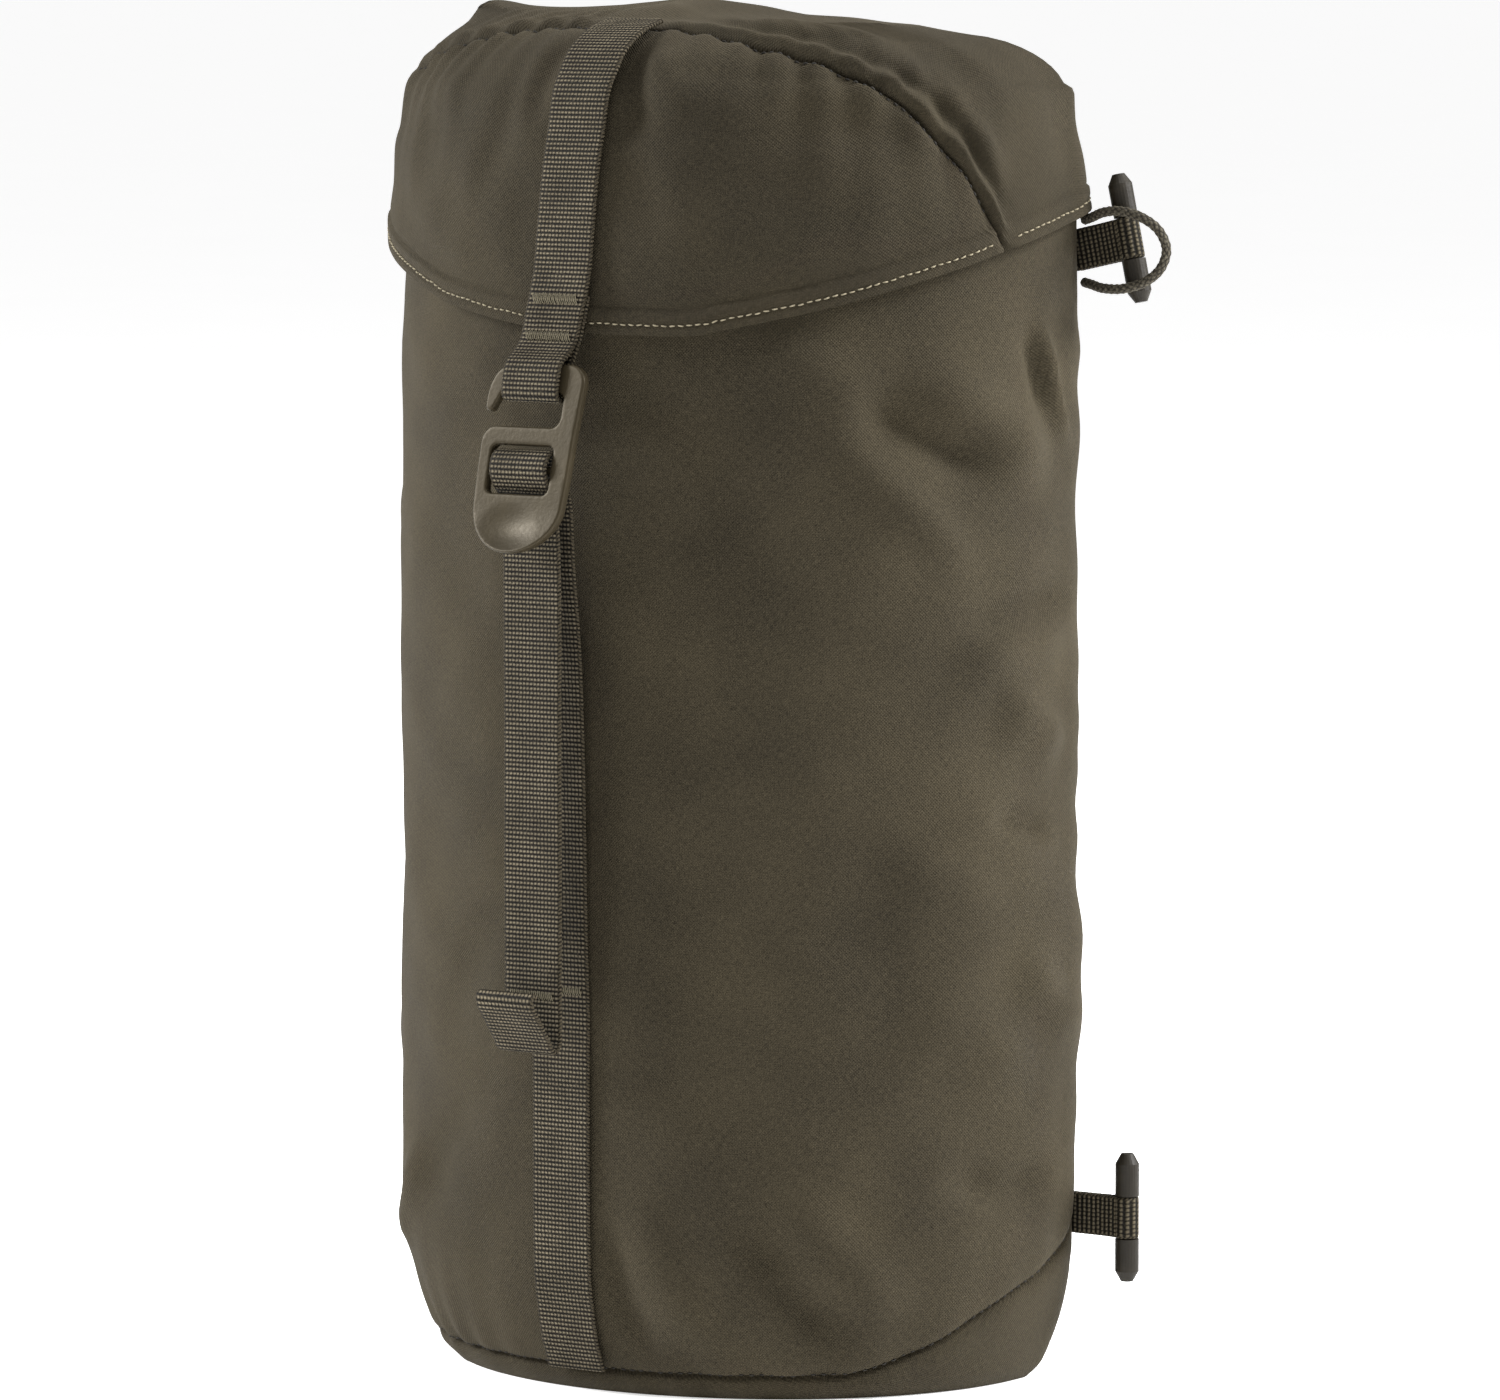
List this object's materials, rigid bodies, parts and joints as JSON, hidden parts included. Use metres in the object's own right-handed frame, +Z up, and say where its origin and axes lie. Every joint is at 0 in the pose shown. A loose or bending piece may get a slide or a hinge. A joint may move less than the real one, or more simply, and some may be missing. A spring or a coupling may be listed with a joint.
{
  "type": "stuff sack",
  "caption": "Lidded D-shaped fabric side pocket with a hooked webbing closure and toggles for hanging it on a rucksack.",
  "frame": {"origin": "centre of the flat base the pocket stands on", "axes": "+Z up, -Y the front with the strap, +X the side on the right of someone carrying it"},
  "size_m": [0.2712, 0.1513, 0.4014],
  "materials": {
    "fabric": "waxed plain-weave canvas",
    "back_fabric": "plain weave, dark",
    "lining": "thin plain weave",
    "eyelet_metal": "satin",
    "webbing": "ribbed polyamide webbing",
    "hook_metal": "satin",
    "toggle_plastic": "matt, finely grained",
    "cord": "braided"
  },
  "bodies": {
    "sack": {"base_panel": "fabric", "body_panel": "fabric", "back_panel": "back_fabric", "mouth_channel": "lining", "eyelet_left": "eyelet_metal", "eyelet_right": "eyelet_metal", "anchor_strap": "webbing"},
    "lid": {"lid_front_panel": "fabric", "lid_top_panel": "fabric", "lid_strap": "webbing", "lid_strap_end": "webbing", "lid_strap_loop": "webbing"},
    "strap": {"strap_leg": "webbing", "strap_turn": "webbing"},
    "hook": {"g_hook": "hook_metal"},
    "tail": {"strap_tail": "webbing", "tail_fold": "webbing"},
    "tab_upper_left": {"tab_upper_left": "webbing", "cord_loop_left": "cord"},
    "toggle_upper_left": {"toggle_upper_left": "toggle_plastic"},
    "tab_lower_left": {"tab_lower_left": "webbing"},
    "toggle_lower_left": {"toggle_lower_left": "toggle_plastic"},
    "tab_upper_right": {"tab_upper_right": "webbing", "cord_loop_right": "cord"},
    "toggle_upper_right": {"toggle_upper_right": "toggle_plastic"},
    "tab_lower_right": {"tab_lower_right": "webbing"},
    "toggle_lower_right": {"toggle_lower_right": "toggle_plastic"}
  },
  "joints": [
    {"name": "lid_hinge", "type": "hinge", "parent": "sack", "child": "lid", "pos_m": [0, 0.0621, 0.342], "axis": [-1, 0, 0], "range_deg": [0, 175], "deforming": ["lid_strap_loop"]},
    {"name": "strap_swing", "type": "hinge", "parent": "sack", "child": "strap", "pos_m": [0, -0.0618, 0.096], "axis": [1, 0, 0], "range_deg": [0, 95]},
    {"name": "hook_tilt", "type": "hinge", "parent": "strap", "child": "hook", "pos_m": [0, -0.07783, 0.2682], "axis": [-1, 0, 0], "range_deg": [0, 14]},
    {"name": "tail_swing", "type": "hinge", "parent": "strap", "child": "tail", "pos_m": [0, -0.0754, 0.239], "axis": [-1, 0, 0], "range_deg": [0, 60]},
    {"name": "tab_upper_left_swing", "type": "hinge", "parent": "sack", "child": "tab_upper_left", "pos_m": [-0.1023, 0.0547, 0.329], "axis": [0, 0, 1], "range_deg": [-90, 20]},
    {"name": "toggle_upper_left_spin", "type": "hinge", "parent": "tab_upper_left", "child": "toggle_upper_left", "pos_m": [-0.1186, 0.0547, 0.33261], "axis": [0.2164, 0, 0.9763], "continuous": true},
    {"name": "tab_lower_left_swing", "type": "hinge", "parent": "sack", "child": "tab_lower_left", "pos_m": [-0.1023, 0.0547, 0.048], "axis": [0, 0, 1], "range_deg": [-90, 60]},
    {"name": "toggle_lower_left_spin", "type": "hinge", "parent": "tab_lower_left", "child": "toggle_lower_left", "pos_m": [-0.119, 0.0547, 0.048], "axis": [0, 0, 1], "continuous": true},
    {"name": "tab_upper_right_swing", "type": "hinge", "parent": "sack", "child": "tab_upper_right", "pos_m": [0.1023, 0.0547, 0.329], "axis": [0, 0, -1], "range_deg": [-90, 20]},
    {"name": "toggle_upper_right_spin", "type": "hinge", "parent": "tab_upper_right", "child": "toggle_upper_right", "pos_m": [0.1186, 0.0547, 0.33261], "axis": [-0.2164, 0, 0.9763], "continuous": true},
    {"name": "tab_lower_right_swing", "type": "hinge", "parent": "sack", "child": "tab_lower_right", "pos_m": [0.1023, 0.0547, 0.048], "axis": [0, 0, -1], "range_deg": [-90, 60]},
    {"name": "toggle_lower_right_spin", "type": "hinge", "parent": "tab_lower_right", "child": "toggle_lower_right", "pos_m": [0.119, 0.0547, 0.048], "axis": [0, 0, 1], "continuous": true}
  ]
}
